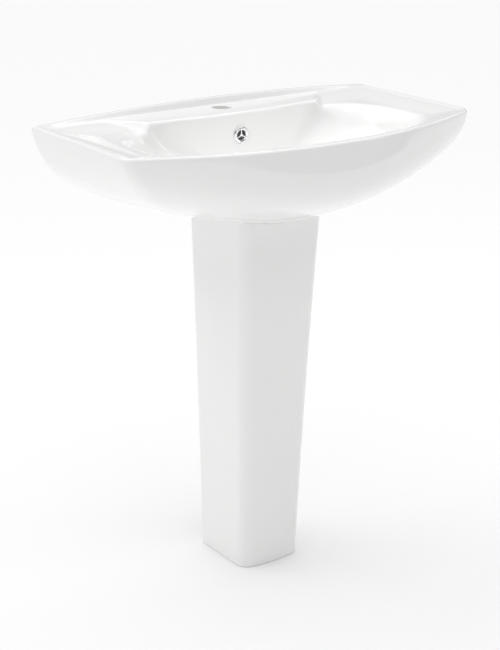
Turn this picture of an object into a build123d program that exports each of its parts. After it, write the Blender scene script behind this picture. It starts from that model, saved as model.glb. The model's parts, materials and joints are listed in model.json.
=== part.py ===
"""Pedestal wash basin of glazed vitreous china, with its waste, bottle trap and wall fixings.

Frame: millimetres, +Z up, the floor at Z = 0, X = 0 the plane of symmetry, the user stands at -Y.
The origin is the bottom centre of the whole assembly's box, studs and waste pipe included.
"""

from build123d import *
import math
import os

# Basin, seen in plan
WALL_Y = 179.0            # plane of the wall, where the basin's flat back lies
RIM_Z = 850.0             # height of the rim above the floor
RIM_BAND = 6.0            # rounded band between the rim's top and the hull
HALF_WIDTH = 362.0
REACH = 409.0             # wall to the middle of the rim's bowed front
SIDE_REACH = 310.6        # wall to the point where side and front would meet in a corner
CORNER_R = 33.0

# Hull below the rim: width and reach shrink by a formula of the depth u, 0 at the top and 1 at the keel
HULL_TOP_Z = RIM_Z - RIM_BAND
HULL_DEPTH = 184.5
HULL_END = 0.97           # the keel is flat from here
HULL_STEPS = (0.0, 0.08, 0.2, 0.35, 0.5, 0.63, 0.74, 0.83, 0.9, 0.945, HULL_END)
CHINA_T = 11.0            # thickness of the cast walls

# Bowl
BOWL_HALF = 264.0
BOWL_BACK = 105.0         # wall to the middle of the bowl's back edge
BACK_BOW = 17.0           # the back edge's ends lie this much nearer to the wall
BACK_CORNER = 180.0       # half the distance between those ends
BACK_SWELL = 1.26         # how far the oblong would run on behind the back edge
BOWL_FRONT = 388.0        # wall to the bowl's front edge
BOWL_DEPTH = 150.0
BOWL_MID = 238.0          # wall to the bowl's widest line
BOWL_STEPS = (0.0, 0.12, 0.3, 0.5, 0.68, 0.82, 0.92, 0.98, 1.0)

# Shelves and tap deck
SHELF_DROP = 8.0
SHELF_MARGIN = 12.0
DECK_FRONT_HALF = 176.0
DECK_BACK_HALF = 250.0
UPSTAND_T = 14.0
UPSTAND_RISE = 13.0
TAP_R = 17.5
TAP_BACK = 46.0           # wall to the tap hole's axis
DECK_T = 22.0

# Back of the basin
BACK_T = 14.0
WINDOW = (220.0, 120.0)   # access opening in the back wall, width and height
WINDOW_R = 18.0
WINDOW_Z = 750.0
FIXING_X = 140.0
FIXING_Z = 790.0
FIXING_HOLE_R = 7.0

# Overflow
OVERFLOW_Z = 809.0
OVERFLOW_HOLE_R = 11.0
OVERFLOW_RING_R = 15.2
OVERFLOW_FACE = 106.1     # wall to the face of the bowl at the overflow
CHANNEL_W = 26.0
CHANNEL_WALL = 8.0

# Waste
WASTE_Y = WALL_Y - 180.0
WASTE_HOLE_R = 23.0
SEAT_R = 33.5             # flat circle at the bottom of the bowl, around the pocket for the waste's flange
POCKET_R = 32.8
POCKET_H = 4.0
SEAT_Z = RIM_Z - BOWL_DEPTH
BOSS_R = 38.0
BOSS_Z = 652.0
TAIL_R = 20.7
TAIL_BORE = 18.0
TAIL_Z = 600.0
FLANGE_SEAL_T = 1.5
BRIDGE_Z = 660.0
CARTRIDGE_R = 7.0
PLUG_Z = 701.6
STEM_R = 4.0
CAP_R = 30.0
CAP_EDGE_T = 2.2
CAP_RISE = 4.3            # dome of the cap above its edge
RUNNING = 0.05            # radial clearance of sliding fits

# Trap
TRAP_PIPE_R = 16.0
TRAP_PIPE_BORE = 14.2
TRAP_OUTLET_Z = 520.0
TRAP_R = 36.0
THREAD_R = 33.9
TRAP_WALL = 3.0
NECK_R = 22.0
NECK_Z = 566.0
DIP_END_Z = 470.0
CUP_R = 37.6
CUP_TOP_Z = 476.0
CUP_SEAM_Z = 456.0        # the bottle's foot ends here, on the cup's seal
CUP_BASE_Z = 424.0
BRANCH_Y = WASTE_Y + 62
PIPE_OUT = 15.0           # how far the waste pipe reaches past the wall's face
PIPE_MARK = 40.0          # depth mark for the socket, before the wall's face

# Wall fixings
STUD_OUT = 60.0           # how far the studs reach into the wall
STUD_IN = 26.0            # how far they stand out inside the basin
STUD_R = 5.0              # machine thread
STUD_WOOD_R = 4.8         # wood thread in the wall plug
STUD_POINT = 10.0
FIXING_CLEAR = 0.1        # radial clearance of bushes, washers and nuts on the studs
BUSH_T = 3.0
BUSH_R = 14.0
WASHER_R = 12.0
WASHER_T = 2.0
NUT_FLATS = 17.0
NUT_H = 8.0

# Pedestal: half-width and reach from the wall, at three heights
PEDESTAL_STEPS = ((0.0, 67.5, 67.0, 209.0), (345.0, 75.6, 68.0, 226.0), (700.0, 87.0, 69.0, 247.5))
PEDESTAL_CORNER = 27.0
PEDESTAL_BOW = 3.0
PEDESTAL_T = 12.0
SEAT_GAP = 1.5            # bedding gap between pedestal and belly
LUG = 24.0
LUG_H = 20.0
FLOOR_HOLE_R = 3.5


def rim_outline(grow=0.0):
    """Half of the rim in plan, from the wall to the front middle, as (x, reach) points."""
    half = HALF_WIDTH + grow
    reach = REACH + grow
    sag = REACH - SIDE_REACH
    bow_r = (half * half + sag * sag) / (2 * sag)
    bow_y = reach - bow_r
    corner_x = half - CORNER_R
    corner_y = bow_y + math.sqrt((bow_r - CORNER_R) ** 2 - corner_x**2)
    meet = math.atan2(corner_y - bow_y, corner_x)
    points = [(half, corner_y * i / 4) for i in range(4)]
    for i in range(5):
        a = meet * i / 4
        points.append((corner_x + CORNER_R * math.cos(a), corner_y + CORNER_R * math.sin(a)))
    for i in range(1, 8):
        a = meet + (math.pi / 2 - meet) * i / 7
        points.append((bow_r * math.cos(a), bow_y + bow_r * math.sin(a)))
    return points


def hull_wire(u, grow=0.0):
    """One level of the hull: the rim's outline shrinks and turns into half an ellipse with depth."""
    wide = (1 - u**3.3) ** 0.8 - 0.3 * u**1.3 * (1 - u)
    deep = 0.45 + 0.55 * (1 - u**3.2) ** 1.3 + 0.4 * u**1.7 * (1 - u)
    round_off = min(1.0, 1.6 * u**1.8)
    half = HALF_WIDTH + grow
    reach = REACH + grow
    right = []
    for x, y in rim_outline(grow):
        a = math.atan2(y / reach, x / half)
        px = x + round_off * (half * math.cos(a) - x)
        py = y + round_off * (reach * math.sin(a) - y)
        right.append((wide * px, WALL_Y - deep * py))
    left = [(-x, y) for x, y in reversed(right[:-1])]
    z = HULL_TOP_Z - (HULL_DEPTH + grow) * u
    front = Spline(*[(x, y, z) for x, y in right + left], tangents=[(0, -1, 0), (0, 1, 0)])
    back = Line(front @ 1, front @ 0)
    return Wire([front, back])


def hull(grow=0.0):
    """Outside of the basin below the rim; a negative grow gives the space inside its walls."""
    return Solid.make_loft([hull_wire(u, grow) for u in HULL_STEPS])


def bowl_wire(v, grow=0.0):
    """One level of the bowl, 0 at the rim and 1 at the waste.

    A rounded oblong is cut off at the back by a wall that bows forward in the middle, so two soft
    upright corners stand at the wall's ends. Lower down the outline turns into a circle.
    """
    side = (1 - v**2.2) ** 0.7
    front = (1 - v**2) ** 0.7
    back = (1 - v**3) ** 0.45
    seat = SEAT_R + grow
    half = seat + (BOWL_HALF + grow - seat) * side
    middle = WASTE_Y + (WALL_Y - BOWL_MID - WASTE_Y) * front
    y_back = WASTE_Y + 1.3 * seat + (WALL_Y - BOWL_BACK + grow - WASTE_Y - 1.3 * seat) * back
    y_front = WASTE_Y - seat + (WALL_Y - BOWL_FRONT - grow - WASTE_Y + seat) * front
    to_wall = y_back - middle
    bow = BACK_BOW / BACK_CORNER**2 * (1 - v)
    sharp = 7 + 25 * (1 - v) ** 2
    points = []
    for i in range(72):
        a = 2 * math.pi * i / 72
        c, s = math.cos(a), math.sin(a)
        power = 2 + (1.0 if s > 0 else 0.4) * (1 - v)
        depth = seat + (to_wall * BACK_SWELL - seat) * side if s > 0 else middle - y_front
        r = (abs(c / half) ** power + abs(s / depth) ** power) ** (-1 / power)
        if s > 0.05:
            spread = math.sqrt(max(0.0, s * s - 4 * to_wall * bow * c * c))
            cut = 2 * to_wall / (s + spread)
            r = (r**-sharp + cut**-sharp) ** (-1 / sharp)
        points.append((r * c, middle + r * s, RIM_Z - (BOWL_DEPTH + grow) * v))
    return Wire([Spline(*points, periodic=True)])


def bowl(grow=0.0):
    """Space of the bowl, or with a positive grow the china around it."""
    return Solid.make_loft([bowl_wire(v, grow) for v in BOWL_STEPS])


def turned(points, x=0.0, y=0.0):
    """Solid turned about a vertical axis at x, y from (radius, height) points."""
    face = Plane.XZ * make_face(Polyline(*points, close=True))
    return Pos(x, y, 0) * revolve(face, Axis.Z, 360)


def turned_y(points, x=0.0, z=0.0):
    """Solid turned about an axis along Y at x, z from (radius, y) points."""
    face = make_face(Polyline(*points, close=True))
    return Pos(x, 0, z) * revolve(face, Axis.Y, 360)


def ring(r_in, r_out, z0, z1):
    """Ring about the waste's axis."""
    return turned([(r_in, z0), (r_out, z0), (r_out, z1), (r_in, z1)], y=WASTE_Y)


def ring_y(r_in, r_out, y0, y1, x, z):
    """Ring about an axis along Y."""
    return turned_y([(r_in, y0), (r_out, y0), (r_out, y1), (r_in, y1)], x, z)


def box(x0, x1, y0, y1, z0, z1):
    """Block between its two corners."""
    return Pos((x0 + x1) / 2, (y0 + y1) / 2, (z0 + z1) / 2) * Box(x1 - x0, y1 - y0, z1 - z0)


def shelf_wire(z, margin, back):
    """Outline inside the rim, drawn in from the rim by a margin and from the wall by back."""
    scale_x = (HALF_WIDTH - margin) / HALF_WIDTH
    scale_y = (REACH - margin - back) / REACH
    right = [(x * scale_x, WALL_Y - back - y * scale_y, z) for x, y in rim_outline()]
    left = [(-x, y, z) for x, y, z in reversed(right[:-1])]
    front = Spline(*(right + left), tangents=[(0, -1, 0), (0, 1, 0)])
    return Wire([front, Line(front @ 1, front @ 0)])


def shelves():
    """Shallow dish that falls from the rim to the bowl on both sides and leaves the tap deck standing."""
    top = shelf_wire(RIM_Z + 1, SHELF_MARGIN, UPSTAND_T + 4)
    low = shelf_wire(RIM_Z - SHELF_DROP, 4 * SHELF_MARGIN, UPSTAND_T + 24)
    dish = Solid.make_loft([top, low], ruled=True)
    deck = Polyline(
        (-DECK_BACK_HALF, WALL_Y),
        (-DECK_FRONT_HALF, WALL_Y - BOWL_BACK),
        (DECK_FRONT_HALF, WALL_Y - BOWL_BACK),
        (DECK_BACK_HALF, WALL_Y),
        close=True,
    )
    keep = extrude(Pos(0, 0, RIM_Z - 2 * SHELF_DROP) * make_face(deck), 4 * SHELF_DROP, taper=-35)
    return dish - keep


def upstand():
    """Low arched upstand along the wall, highest in the middle."""
    foot = HALF_WIDTH - 6
    arch = ThreePointArc((-foot, RIM_Z), (0, RIM_Z + UPSTAND_RISE), (foot, RIM_Z))
    base = Polyline((foot, RIM_Z), (foot, RIM_Z - 3), (-foot, RIM_Z - 3), (-foot, RIM_Z))
    return Pos(0, WALL_Y, 0) * extrude(Plane.XZ * make_face([arch, base]), UPSTAND_T)


def overflow_channel(wall):
    """Cast duct from the overflow hole down behind the bowl to the waste hole, grown by its wall."""
    back = WALL_Y - 87 + wall
    front = WALL_Y - 101 - wall
    top = OVERFLOW_Z + OVERFLOW_HOLE_R + 2 + wall
    duct = Polyline(
        (front, top), (back, top), (back, 705 - wall / 2), (WALL_Y - 118, 669 - wall),
        (WASTE_Y, 669 - wall), (WASTE_Y, 687 + wall), (WALL_Y - 130, 687 + wall), (front, 716), close=True)
    half = CHANNEL_W / 2 + wall
    return Pos(half, 0, 0) * extrude(Plane.YZ * make_face(duct), -2 * half)


def make_basin():
    """Basin cast in one piece: outer hull, bowl, hollow walls, waste boss, overflow duct and back wall."""
    slab = extrude(make_face(hull_wire(0.0)), RIM_BAND)
    body = slab + hull()
    body = body - shelves()
    body = body + upstand()
    waste_boss = ring(0, BOSS_R, BOSS_Z, SEAT_Z)
    hollow = hull(-CHINA_T) & box(-400, 400, -400, WALL_Y - BACK_T, 600, RIM_Z - DECK_T)
    hollow = hollow - bowl(CHINA_T) - overflow_channel(CHANNEL_WALL) - waste_boss
    body = body + waste_boss - hollow - bowl() - overflow_channel(0)
    opening = extrude(RectangleRounded(*WINDOW, WINDOW_R), BACK_T + 1, both=True)
    body = body - Pos(0, WALL_Y, WINDOW_Z) * Rot(90, 0, 0) * opening
    for side in (-1, 1):
        body = body - ring_y(0, FIXING_HOLE_R, WALL_Y - BACK_T - 1, WALL_Y + 1, side * FIXING_X, FIXING_Z)
    body = body - Pos(0, WALL_Y - TAP_BACK, RIM_Z) * Cylinder(TAP_R, 3 * DECK_T)
    body = body - ring_y(0, OVERFLOW_HOLE_R, WALL_Y - 125, WALL_Y - 95, 0, OVERFLOW_Z)
    body = body - ring(0, WASTE_HOLE_R, BOSS_Z - 1, SEAT_Z + 2)
    return body - ring(0, POCKET_R, SEAT_Z - POCKET_H, SEAT_Z + 2)


def pedestal_wire(z, half, back, front, inset=0.0):
    """Level of the pedestal: straight back and sides, rounded front corners, slightly bowed front."""
    x = half - inset
    y0 = WALL_Y - back - inset
    y1 = WALL_Y - front + inset
    r = PEDESTAL_CORNER - inset
    diag = r * (1 - math.sqrt(0.5))
    lines = [
        Line((-x, y0, z), (x, y0, z)),
        Line((x, y0, z), (x, y1 + r, z)),
        ThreePointArc((x, y1 + r, z), (x - diag, y1 + diag, z), (x - r, y1, z)),
        ThreePointArc((x - r, y1, z), (0, y1 - PEDESTAL_BOW, z), (r - x, y1, z)),
        ThreePointArc((r - x, y1, z), (diag - x, y1 + diag, z), (-x, y1 + r, z)),
        Line((-x, y1 + r, z), (-x, y0, z)),
    ]
    return Wire(lines)


def pedestal_core(inset=0.0):
    """Solid column, or with an inset the space inside its walls."""
    return Solid.make_loft([pedestal_wire(*step, inset=inset) for step in PEDESTAL_STEPS])


def make_pedestal():
    """Cast column, hollow and open at the back, its top edge shaped to the belly of the basin."""
    core = pedestal_core()
    inside = pedestal_core(PEDESTAL_T)
    open_back = box(-54, 54, WALL_Y - 110, WALL_Y - 50, -1, 720)
    body = core - inside - open_back - hull(SEAT_GAP)
    lug_y = WALL_Y - 67 - PEDESTAL_T
    for side in (-1, 1):
        x = side * (PEDESTAL_STEPS[0][1] - PEDESTAL_T - LUG / 2 + 2)
        lug = box(x - LUG / 2, x + LUG / 2, lug_y - LUG, lug_y + 1, 0, LUG_H)
        body = body + lug
        body = body - Pos(x, lug_y - LUG / 2, 0) * Cylinder(FLOOR_HOLE_R, 3 * LUG_H)
    return body


def make_seat_pads():
    """Rubber bedding pads on the pedestal's top edge, under the belly."""
    edge = pedestal_core(2.0) - pedestal_core(PEDESTAL_T - 2)
    edge = (edge & hull(SEAT_GAP)) - hull(0.02)
    front_y = WALL_Y - PEDESTAL_STEPS[2][3]
    places = [(-15, 15, front_y - 10, front_y + 20), (60, 95, WALL_Y - 150, WALL_Y - 120),
              (-95, -60, WALL_Y - 150, WALL_Y - 120)]
    pads = []
    for x0, x1, y0, y1 in places:
        pads.extend((edge & box(x0, x1, y0, y1, 640, 700)).solids())
    return pads


def make_overflow_ring():
    """Trim ring pushed into the overflow hole: domed flange, sleeve and three spokes on a small hub."""
    face_y = WALL_Y - OVERFLOW_FACE
    rim = turned_y([
        (10.0, face_y), (OVERFLOW_RING_R, face_y), (OVERFLOW_RING_R, face_y - 0.8),
        (13.6, face_y - 2.2), (12.0, face_y - 2.6), (10.6, face_y - 2.2), (10.0, face_y - 1.2),
    ], 0, OVERFLOW_Z)
    sleeve = ring_y(9.4, OVERFLOW_HOLE_R - 0.1, face_y - 1.2, face_y + 11, 0, OVERFLOW_Z)
    spokes = ring_y(0, 2.4, face_y - 1.4, face_y + 0.6, 0, OVERFLOW_Z)
    for i in range(3):
        bar = Pos(0, face_y - 0.4, 0) * box(-0.9, 0.9, -1.0, 1.0, 0, 10.2)
        spokes = spokes + Pos(0, 0, OVERFLOW_Z) * Rot(0, 120 * i, 0) * bar
    return rim + sleeve + spokes


def make_waste_body():
    """Slotted waste: flange in the bowl, threaded tail through the china, bridge for the cartridge."""
    top = SEAT_Z - POCKET_H + FLANGE_SEAL_T
    tail = turned([
        (TAIL_BORE, TAIL_Z), (TAIL_R, TAIL_Z), (TAIL_R, top), (32, top), (32, top + 2.4), (30.5, top + 3.2),
        (25, top + 2.4), (TAIL_BORE, top - 3.5),
    ], y=WASTE_Y)
    for i in range(4):
        slot = box(TAIL_BORE - 2, TAIL_R + 2, -5, 5, 671, 686)
        tail = tail - Pos(0, WASTE_Y, 0) * Rot(0, 0, 45 + 90 * i) * slot
    bridge = Pos(0, WASTE_Y, 0) * box(-TAIL_BORE - 0.5, TAIL_BORE + 0.5, -2, 2, BRIDGE_Z, BRIDGE_Z + 6)
    bridge = bridge + ring(0, 9.5, BRIDGE_Z, BRIDGE_Z + 6)
    return tail + bridge - ring(0, CARTRIDGE_R + 0.05, BRIDGE_Z - 1, BRIDGE_Z + 7)


def make_waste_flange_seal():
    """Rubber ring under the waste's flange, in the pocket at the bottom of the bowl."""
    foot = SEAT_Z - POCKET_H
    return ring(WASTE_HOLE_R + 0.2, POCKET_R - 1.3, foot, foot + FLANGE_SEAL_T)


def make_click_cartridge():
    """Push-to-click cartridge screwed into the bridge: a sleeve with a collar and a blind bore."""
    bore = STEM_R + RUNNING
    return turned([
        (0, BRIDGE_Z - 18), (CARTRIDGE_R, BRIDGE_Z - 18), (CARTRIDGE_R, BRIDGE_Z + 6),
        (9, BRIDGE_Z + 6), (9, BRIDGE_Z + 9), (CARTRIDGE_R, BRIDGE_Z + 9), (CARTRIDGE_R, BRIDGE_Z + 18),
        (bore, BRIDGE_Z + 18), (bore, BRIDGE_Z - 14), (0, BRIDGE_Z - 14),
    ], y=WASTE_Y)


def make_plug_cap():
    """Domed metal cap that closes the waste, with a groove for its seal underneath."""
    z = PLUG_Z
    top = z + CAP_EDGE_T + CAP_RISE
    dome_r = (CAP_R**2 + CAP_RISE**2) / (2 * CAP_RISE)
    half = math.asin(CAP_R / dome_r) / 2
    middle = (dome_r * math.sin(half), top - dome_r * (1 - math.cos(half)))
    dome = ThreePointArc((CAP_R, z + CAP_EDGE_T), middle, (0, top))
    edge = ThreePointArc((CAP_R, z), (CAP_R + 1, z + CAP_EDGE_T / 2), (CAP_R, z + CAP_EDGE_T))
    foot = Polyline(
        (0, top), (0, z - 6), (7, z - 6), (7, z + 1.2), (24.1, z + 1.2), (24.1, z), (CAP_R, z))
    return Pos(0, WASTE_Y, 0) * revolve(Plane.XZ * make_face([dome, edge, foot]), Axis.Z, 360)


def make_plug_seal():
    """Rubber ring seated in the cap's underside."""
    return turned([
        (13, PLUG_Z - 4.3), (21.5, PLUG_Z - 4.3), (24, PLUG_Z - 2.3), (24, PLUG_Z + 1.2), (13, PLUG_Z + 1.2),
    ], y=WASTE_Y)


def make_plug_stem():
    """Rod from the cap down into the cartridge."""
    return ring(0, STEM_R, PLUG_Z - 50, PLUG_Z - 6)


def hex_nut(flats, bore, height):
    """Hexagon nut standing on Z = 0."""
    blank = extrude(RegularPolygon(flats / 2, 6, major_radius=False), height)
    crown = Cylinder(flats / 2 + flats * 0.045, height, align=(Align.CENTER, Align.CENTER, Align.MIN))
    hole = Cylinder(bore, 3 * height)
    return (blank & crown) - hole


def make_waste_cone_seal():
    """Tapered rubber seal that closes the gap under the basin around the tail."""
    r = TAIL_R + 0.1
    return turned([
        (r, BOSS_Z - 6), (32, BOSS_Z - 6), (32, BOSS_Z), (WASTE_HOLE_R - 0.2, BOSS_Z),
        (r + 0.6, BOSS_Z + 5), (r, BOSS_Z + 5),
    ], y=WASTE_Y)


def make_waste_washer():
    """Plastic slip washer between the seal and the back nut."""
    return ring(TAIL_R + 0.2, 31, BOSS_Z - 8, BOSS_Z - 6)


def make_waste_back_nut():
    """Back nut that clamps the waste to the china."""
    return Pos(0, WASTE_Y, BOSS_Z - 19) * hex_nut(55, TAIL_R + 0.1, 11)


def ribbed_nut(r_out, bore, lip_bore, height, lip, ribs=16):
    """Plastic union nut standing on Z = 0, its narrow lip at the bottom and grip ribs outside."""
    nut = revolve(Plane.XZ * make_face(Polyline(
        (lip_bore, 0), (r_out - 1.5, 0), (r_out, 1.5), (r_out, height), (bore, height), (bore, lip),
        (lip_bore, lip), close=True)), Axis.Z, 360)
    rib = Pos(r_out, 0, height / 2) * Cylinder(1.2, height - 3)
    for i in range(ribs):
        nut = nut + Rot(0, 0, 360 * i / ribs) * rib
    return nut


def make_trap_inlet_nut():
    """Union nut that hangs the trap from the waste's tail."""
    return Pos(0, WASTE_Y, TAIL_Z - 12) * ribbed_nut(27, TAIL_R + 0.1, TRAP_PIPE_R + 0.3, 24, 6)


def make_trap_inlet_seal():
    """Flat rubber seal between the tail and the dip pipe's collar."""
    return ring(TRAP_PIPE_BORE + 0.3, TAIL_R - 0.2, TAIL_Z - 2, TAIL_Z)


def make_trap_dip_pipe():
    """Pipe with a collar that leads the water down into the bottle."""
    return turned([
        (TRAP_PIPE_BORE, DIP_END_Z), (TRAP_PIPE_R, DIP_END_Z), (TRAP_PIPE_R, TAIL_Z - 6),
        (TAIL_R - 0.2, TAIL_Z - 6), (TAIL_R - 0.2, TAIL_Z - 2), (TRAP_PIPE_BORE, TAIL_Z - 2),
    ], y=WASTE_Y)


def make_trap_body():
    """Bottle of the trap: neck for the dip pipe, side outlet and a threaded foot for the cup."""
    t = TRAP_WALL
    outside = turned([
        (0, CUP_SEAM_Z), (THREAD_R, CUP_SEAM_Z), (THREAD_R, CUP_TOP_Z + 1), (TRAP_R, CUP_TOP_Z + 1),
        (TRAP_R, NECK_Z - 18), (TRAP_R - 8, NECK_Z - 10), (NECK_R, NECK_Z - 10), (NECK_R, NECK_Z),
        (0, NECK_Z),
    ], y=WASTE_Y)
    inside = turned([
        (0, CUP_SEAM_Z - 1), (THREAD_R - t, CUP_SEAM_Z - 1), (THREAD_R - t, NECK_Z - 20),
        (TRAP_PIPE_R + 4, NECK_Z - 13), (TRAP_PIPE_R + 0.2, NECK_Z - 13), (TRAP_PIPE_R + 0.2, NECK_Z + 1),
        (0, NECK_Z + 1),
    ], y=WASTE_Y)
    branch = ring_y(0, NECK_R, WASTE_Y, BRANCH_Y, 0, TRAP_OUTLET_Z)
    branch_bore = ring_y(0, TRAP_PIPE_R + 0.2, WASTE_Y + 20, BRANCH_Y + 1, 0, TRAP_OUTLET_Z)
    return outside + branch - inside - branch_bore


def make_trap_neck_nut():
    """Nut that clamps the dip pipe's seal on the bottle's neck."""
    nut = Rot(180, 0, 0) * ribbed_nut(28.5, NECK_R + 0.1, TRAP_PIPE_R + 0.3, 16, 4)
    return Pos(0, WASTE_Y, NECK_Z + 7) * nut


def make_trap_neck_seal():
    """Tapered seal around the dip pipe on the bottle's neck."""
    r = TRAP_PIPE_R + 0.1
    return turned([
        (r, NECK_Z), (NECK_R - 0.3, NECK_Z), (NECK_R - 1.5, NECK_Z + 3), (r, NECK_Z + 3),
    ], y=WASTE_Y)


def make_trap_cup():
    """Cup screwed on the bottle's foot, taken off to clean the trap, with grip flats around its base."""
    r_in = THREAD_R + RUNNING
    cup = turned([
        (0, CUP_BASE_Z), (TRAP_R - 5, CUP_BASE_Z), (TRAP_R - 2, CUP_BASE_Z + 3),
        (TRAP_R - 2, CUP_SEAM_Z - 8), (CUP_R, CUP_SEAM_Z - 6), (CUP_R, CUP_TOP_Z), (r_in, CUP_TOP_Z),
        (r_in, CUP_SEAM_Z - 3), (THREAD_R - TRAP_WALL, CUP_SEAM_Z - 3),
        (THREAD_R - TRAP_WALL, CUP_BASE_Z + 3), (0, CUP_BASE_Z + 3),
    ], y=WASTE_Y)
    rib_z = (CUP_SEAM_Z - 6 + CUP_TOP_Z) / 2
    rib = Pos(CUP_R, 0, rib_z) * Cylinder(1.3, CUP_TOP_Z - CUP_SEAM_Z + 2)
    for i in range(20):
        cup = cup + Pos(0, WASTE_Y, 0) * Rot(0, 0, 18 * i) * rib
    return cup


def make_trap_cup_seal():
    """Ring seal between the cup and the bottle's foot."""
    return ring(THREAD_R - TRAP_WALL, THREAD_R - 0.1, CUP_SEAM_Z - 3, CUP_SEAM_Z - 0.1)


def make_trap_outlet_nut():
    """Nut that clamps the waste pipe's seal on the outlet branch."""
    nut = Rot(90, 0, 0) * ribbed_nut(28.5, NECK_R + 0.1, TRAP_PIPE_R + 0.3, 16, 4)
    return Pos(0, BRANCH_Y + 7, TRAP_OUTLET_Z) * nut


def make_trap_outlet_seal():
    """Tapered seal around the waste pipe on the outlet branch."""
    r = TRAP_PIPE_R + 0.1
    return turned_y([
        (r, BRANCH_Y), (NECK_R - 0.3, BRANCH_Y), (NECK_R - 1.5, BRANCH_Y + 3), (r, BRANCH_Y + 3),
    ], 0, TRAP_OUTLET_Z)


def make_outlet_pipe():
    """Waste pipe from the trap into the wall, with a depth mark and a chamfered free end."""
    end = WALL_Y + PIPE_OUT
    mark = WALL_Y - PIPE_MARK
    return turned_y([
        (TRAP_PIPE_BORE, BRANCH_Y - 18), (TRAP_PIPE_R, BRANCH_Y - 18), (TRAP_PIPE_R, mark - 1),
        (TRAP_PIPE_R - 0.4, mark - 1), (TRAP_PIPE_R - 0.4, mark), (TRAP_PIPE_R, mark),
        (TRAP_PIPE_R, end - 1), (TRAP_PIPE_R - 1, end), (TRAP_PIPE_BORE, end),
    ], 0, TRAP_OUTLET_Z)


def pair(solid):
    """The same fixing at both wall holes."""
    return [Pos(side * FIXING_X, 0, FIXING_Z) * solid for side in (-1, 1)]


def make_wall_studs():
    """Hanger studs: machine thread inside the basin, wood thread with a point in the wall."""
    inner = WALL_Y - BACK_T - STUD_IN
    outer = WALL_Y + STUD_OUT
    return pair(turned_y([
        (0, inner), (STUD_R - 0.8, inner), (STUD_R, inner + 0.8), (STUD_R, WALL_Y - 0.2),
        (STUD_WOOD_R, WALL_Y), (STUD_WOOD_R, outer - STUD_POINT), (0, outer),
    ]))


def make_wall_bushes():
    """Flanged plastic bushes that keep the studs off the china."""
    bore = STUD_R + FIXING_CLEAR
    sleeve = FIXING_HOLE_R - FIXING_CLEAR
    face = WALL_Y - BACK_T
    return pair(turned_y([
        (bore, WALL_Y - 0.5), (bore, face - BUSH_T), (BUSH_R, face - BUSH_T), (BUSH_R, face),
        (sleeve, face), (sleeve, WALL_Y - 0.5),
    ]))


def make_wall_washers():
    """Steel washers on the bushes."""
    face = WALL_Y - BACK_T - BUSH_T
    return pair(ring_y(STUD_R + FIXING_CLEAR, WASHER_R, face - WASHER_T, face, 0, 0))


def make_wall_nuts():
    """Hexagon nuts that draw the basin to the wall."""
    face = WALL_Y - BACK_T - BUSH_T - WASHER_T
    return pair(Pos(0, face, 0) * Rot(90, 0, 0) * hex_nut(NUT_FLATS, STUD_R + FIXING_CLEAR, NUT_H))


PARTS = {
    "basin": make_basin,
    "pedestal": make_pedestal,
    "seat_pads": make_seat_pads,
    "overflow_ring": make_overflow_ring,
    "waste_body": make_waste_body,
    "waste_flange_seal": make_waste_flange_seal,
    "waste_cone_seal": make_waste_cone_seal,
    "waste_washer": make_waste_washer,
    "waste_back_nut": make_waste_back_nut,
    "click_cartridge": make_click_cartridge,
    "plug_cap": make_plug_cap,
    "plug_seal": make_plug_seal,
    "plug_stem": make_plug_stem,
    "trap_inlet_nut": make_trap_inlet_nut,
    "trap_inlet_seal": make_trap_inlet_seal,
    "trap_dip_pipe": make_trap_dip_pipe,
    "trap_body": make_trap_body,
    "trap_neck_nut": make_trap_neck_nut,
    "trap_neck_seal": make_trap_neck_seal,
    "trap_cup": make_trap_cup,
    "trap_cup_seal": make_trap_cup_seal,
    "trap_outlet_nut": make_trap_outlet_nut,
    "trap_outlet_seal": make_trap_outlet_seal,
    "outlet_pipe": make_outlet_pipe,
    "wall_studs": make_wall_studs,
    "wall_bushes": make_wall_bushes,
    "wall_washers": make_wall_washers,
    "wall_nuts": make_wall_nuts,
}

os.makedirs("parts", exist_ok=True)
for name, make in PARTS.items():
    made = make()
    pieces = made if isinstance(made, list) else [made]
    solids = [solid for piece in pieces for solid in piece.solids()]
    part = solids[0] if len(solids) == 1 else Compound(children=list(solids))
    export_step(part, f"parts/{name}.step")
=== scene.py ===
"""Looks of the pedestal sink: glazed china, chrome waste and fittings, on a pale studio floor."""
import json
import math

import bmesh
import bpy
import numpy as np
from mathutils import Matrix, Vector


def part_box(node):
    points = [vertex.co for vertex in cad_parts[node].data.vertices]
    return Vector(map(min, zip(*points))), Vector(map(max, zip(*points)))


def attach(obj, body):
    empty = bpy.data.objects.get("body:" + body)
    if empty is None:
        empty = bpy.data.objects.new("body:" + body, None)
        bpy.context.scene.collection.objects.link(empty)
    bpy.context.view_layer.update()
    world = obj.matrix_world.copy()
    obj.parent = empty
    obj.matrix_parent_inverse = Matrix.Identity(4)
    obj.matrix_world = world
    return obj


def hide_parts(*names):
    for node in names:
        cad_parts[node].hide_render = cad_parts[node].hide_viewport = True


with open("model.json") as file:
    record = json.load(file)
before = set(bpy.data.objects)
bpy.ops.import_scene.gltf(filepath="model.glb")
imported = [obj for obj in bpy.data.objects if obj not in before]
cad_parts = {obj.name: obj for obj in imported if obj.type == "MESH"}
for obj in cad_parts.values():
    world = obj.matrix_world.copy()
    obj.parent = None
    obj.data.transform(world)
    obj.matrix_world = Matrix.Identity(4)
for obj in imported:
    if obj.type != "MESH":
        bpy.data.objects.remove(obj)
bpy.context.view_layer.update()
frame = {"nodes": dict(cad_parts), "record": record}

MM = 0.001

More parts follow.
